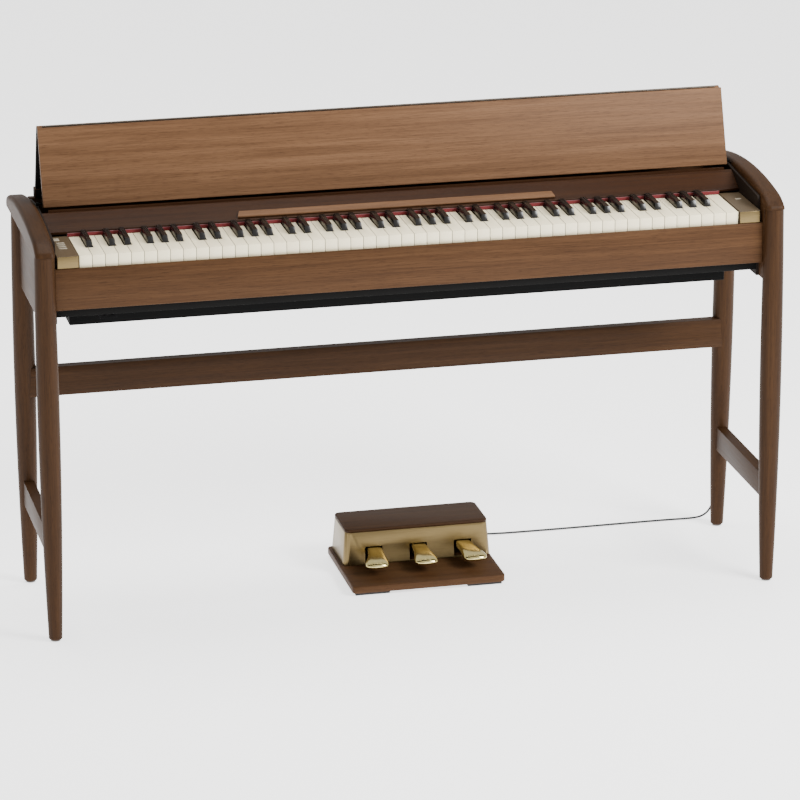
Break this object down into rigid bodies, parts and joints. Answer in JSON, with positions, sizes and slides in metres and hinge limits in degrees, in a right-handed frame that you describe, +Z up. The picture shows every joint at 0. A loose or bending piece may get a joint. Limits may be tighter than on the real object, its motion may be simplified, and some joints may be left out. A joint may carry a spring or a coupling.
{
  "type": "digital piano on stand",
  "caption": "Furniture style digital piano: full keyboard in a walnut case on four turned legs, folding lid that stands as a music rest, and a separate three-pedal unit with its cord.",
  "frame": {"origin": "on the floor, under the middle of the whole instrument", "axes": "+X along the keyboard from bass to treble, +Y to the back, away from the player, +Z up"},
  "size_m": [1.3924, 0.3865, 0.8988],
  "materials": {
    "walnut": "open-grain walnut, satin",
    "black_board": "black painted board, matt",
    "felt": "grey felt",
    "red_felt": "dark red felt",
    "dark_metal": "dark bronze anodised hinge",
    "black_plastic": "fine textured black plastic",
    "bronze_plastic": "dark bronze speckled plastic",
    "button_plastic": "dark grey buttons",
    "ivory_key": "fine textured ivory-feel key tops",
    "ebony_key": "ebony-feel black keys",
    "frame_steel": "zinc plated steel",
    "speaker_paper": "black paper cone",
    "circuit": "green circuit board",
    "rubber": "black rubber",
    "champagne_metal": "champagne metallic paint",
    "brass": "polished brass",
    "cord_rubber": "black round cable",
    "bolt_steel": "black oxide bolts"
  },
  "bodies": {
    "stand": {"back_panel": "walnut", "bolts_and_screws": "bolt_steel", "cord_clips": "black_plastic", "cord_plug": "black_plastic", "cord_strain_relief": "cord_rubber", "fallboard": "walnut", "felt_strip": "red_felt", "foot_glides": "felt", "front_rail": "walnut", "headphone_jack_box": "black_plastic", "inner_deck": "black_board", "key_bed": "black_board", "key_frame": "frame_steel", "left_arm": "walnut", "left_front_leg": "walnut", "left_key_block": "bronze_plastic", "left_rear_leg": "walnut", "lid_rest_strip": "walnut", "low_side_stretchers": "walnut", "pedal_base": "walnut", "pedal_cord": "cord_rubber", "pedal_feet": "rubber", "pedal_housing": "champagne_metal", "pedal_shaft": "frame_steel", "pedal_unit_top": "walnut", "rear_hinge": "dark_metal", "rear_stretcher": "walnut", "rear_top_board": "walnut", "right_arm": "walnut", "right_front_leg": "walnut", "right_key_block": "bronze_plastic", "right_rear_leg": "walnut", "side_liners": "black_board", "side_panels": "walnut", "sound_board_and_sockets": "circuit", "speaker_case": "black_plastic", "speaker_drivers": "speaker_paper"},
    "lid_rear": {"lid_rear_panel": "walnut", "fold_hinge": "dark_metal"},
    "lid_front": {"lid_front_panel": "walnut", "lid_guide_rollers": "black_plastic"},
    "ledge": {"music_ledge": "walnut"},
    "volume": {"volume_button": "button_plastic"},
    "functions": {"function_buttons": "button_plastic"},
    "power": {"power_button": "button_plastic"},
    "soft": {"soft_pedal": "brass"},
    "sostenuto": {"sostenuto_pedal": "brass"},
    "damper": {"damper_pedal": "brass"},
    "key_c": {"keys_c": "ivory_key"},
    "key_c_sharp": {"keys_c_sharp": "ebony_key"},
    "key_d": {"keys_d": "ivory_key"},
    "key_d_sharp": {"keys_d_sharp": "ebony_key"},
    "key_e": {"keys_e": "ivory_key"},
    "key_f": {"keys_f": "ivory_key"},
    "key_f_sharp": {"keys_f_sharp": "ebony_key"},
    "key_g": {"keys_g": "ivory_key"},
    "key_g_sharp": {"keys_g_sharp": "ebony_key"},
    "key_a": {"keys_a": "ivory_key"},
    "key_a_sharp": {"keys_a_sharp": "ebony_key"},
    "key_b": {"keys_b": "ivory_key"}
  },
  "joints": [
    {"name": "lid_rear_hinge", "type": "hinge", "parent": "stand", "child": "lid_rear", "pos_m": [0, 0.1351, 0.7688], "axis": [1, 0, 0], "range_deg": [0, 71]},
    {"name": "lid_fold_hinge", "type": "hinge", "parent": "lid_rear", "child": "lid_front", "pos_m": [0, 0.0815, 0.89682], "axis": [1, 0, 0], "range_deg": [-142, 0]},
    {"name": "music_ledge_hinge", "type": "hinge", "parent": "stand", "child": "ledge", "pos_m": [0, -0.0261, 0.7341], "axis": [1, 0, 0], "range_deg": [0, 90]},
    {"name": "key_c_pivot", "type": "hinge", "parent": "stand", "child": "key_c", "pos_m": [0, 0.07, 0.698], "axis": [1, 0, 0], "range_deg": [0, 2.47], "stiffness_Nm_per_rad": 20, "springref_deg": -8.59},
    {"name": "key_c_sharp_pivot", "type": "hinge", "parent": "stand", "child": "key_c_sharp", "pos_m": [0, 0.07, 0.698], "axis": [1, 0, 0], "range_deg": [0, 2.47], "stiffness_Nm_per_rad": 20, "springref_deg": -8.59},
    {"name": "key_d_pivot", "type": "hinge", "parent": "stand", "child": "key_d", "pos_m": [0, 0.07, 0.698], "axis": [1, 0, 0], "range_deg": [0, 2.47], "stiffness_Nm_per_rad": 20, "springref_deg": -8.59},
    {"name": "key_d_sharp_pivot", "type": "hinge", "parent": "stand", "child": "key_d_sharp", "pos_m": [0, 0.07, 0.698], "axis": [1, 0, 0], "range_deg": [0, 2.47], "stiffness_Nm_per_rad": 20, "springref_deg": -8.59},
    {"name": "key_e_pivot", "type": "hinge", "parent": "stand", "child": "key_e", "pos_m": [0, 0.07, 0.698], "axis": [1, 0, 0], "range_deg": [0, 2.47], "stiffness_Nm_per_rad": 20, "springref_deg": -8.59},
    {"name": "key_f_pivot", "type": "hinge", "parent": "stand", "child": "key_f", "pos_m": [0, 0.07, 0.698], "axis": [1, 0, 0], "range_deg": [0, 2.47], "stiffness_Nm_per_rad": 20, "springref_deg": -8.59},
    {"name": "key_f_sharp_pivot", "type": "hinge", "parent": "stand", "child": "key_f_sharp", "pos_m": [0, 0.07, 0.698], "axis": [1, 0, 0], "range_deg": [0, 2.47], "stiffness_Nm_per_rad": 20, "springref_deg": -8.59},
    {"name": "key_g_pivot", "type": "hinge", "parent": "stand", "child": "key_g", "pos_m": [0, 0.07, 0.698], "axis": [1, 0, 0], "range_deg": [0, 2.47], "stiffness_Nm_per_rad": 20, "springref_deg": -8.59},
    {"name": "key_g_sharp_pivot", "type": "hinge", "parent": "stand", "child": "key_g_sharp", "pos_m": [0, 0.07, 0.698], "axis": [1, 0, 0], "range_deg": [0, 2.47], "stiffness_Nm_per_rad": 20, "springref_deg": -8.59},
    {"name": "key_a_pivot", "type": "hinge", "parent": "stand", "child": "key_a", "pos_m": [0, 0.07, 0.698], "axis": [1, 0, 0], "range_deg": [0, 2.47], "stiffness_Nm_per_rad": 20, "springref_deg": -8.59},
    {"name": "key_a_sharp_pivot", "type": "hinge", "parent": "stand", "child": "key_a_sharp", "pos_m": [0, 0.07, 0.698], "axis": [1, 0, 0], "range_deg": [0, 2.47], "stiffness_Nm_per_rad": 20, "springref_deg": -8.59},
    {"name": "key_b_pivot", "type": "hinge", "parent": "stand", "child": "key_b", "pos_m": [0, 0.07, 0.698], "axis": [1, 0, 0], "range_deg": [0, 2.47], "stiffness_Nm_per_rad": 20, "springref_deg": -8.59},
    {"name": "soft_pedal_pivot", "type": "hinge", "parent": "stand", "child": "soft", "pos_m": [-0.036, 0.117, 0.048], "axis": [1, 0, 0], "range_deg": [0, 5], "stiffness_Nm_per_rad": 25, "springref_deg": -4.58},
    {"name": "sostenuto_pedal_pivot", "type": "hinge", "parent": "stand", "child": "sostenuto", "pos_m": [0.0505, 0.117, 0.048], "axis": [1, 0, 0], "range_deg": [0, 5], "stiffness_Nm_per_rad": 25, "springref_deg": -4.58},
    {"name": "damper_pedal_pivot", "type": "hinge", "parent": "stand", "child": "damper", "pos_m": [0.137, 0.117, 0.048], "axis": [1, 0, 0], "range_deg": [0, 5], "stiffness_Nm_per_rad": 25, "springref_deg": -4.58},
    {"name": "volume_press", "type": "slide", "parent": "stand", "child": "volume", "axis": [0, 0, -1], "range_m": [0, 0.0012], "stiffness_N_per_m": 250, "springref_m": -0.002},
    {"name": "functions_press", "type": "slide", "parent": "stand", "child": "functions", "axis": [0, 0, -1], "range_m": [0, 0.0012], "stiffness_N_per_m": 250, "springref_m": -0.002},
    {"name": "power_press", "type": "slide", "parent": "stand", "child": "power", "axis": [0, 0, -1], "range_m": [0, 0.0015], "stiffness_N_per_m": 250, "springref_m": -0.002}
  ],
  "couplings": [
    {"joint": "lid_fold_hinge", "follows": "lid_rear_hinge", "ratio": -2}
  ]
}
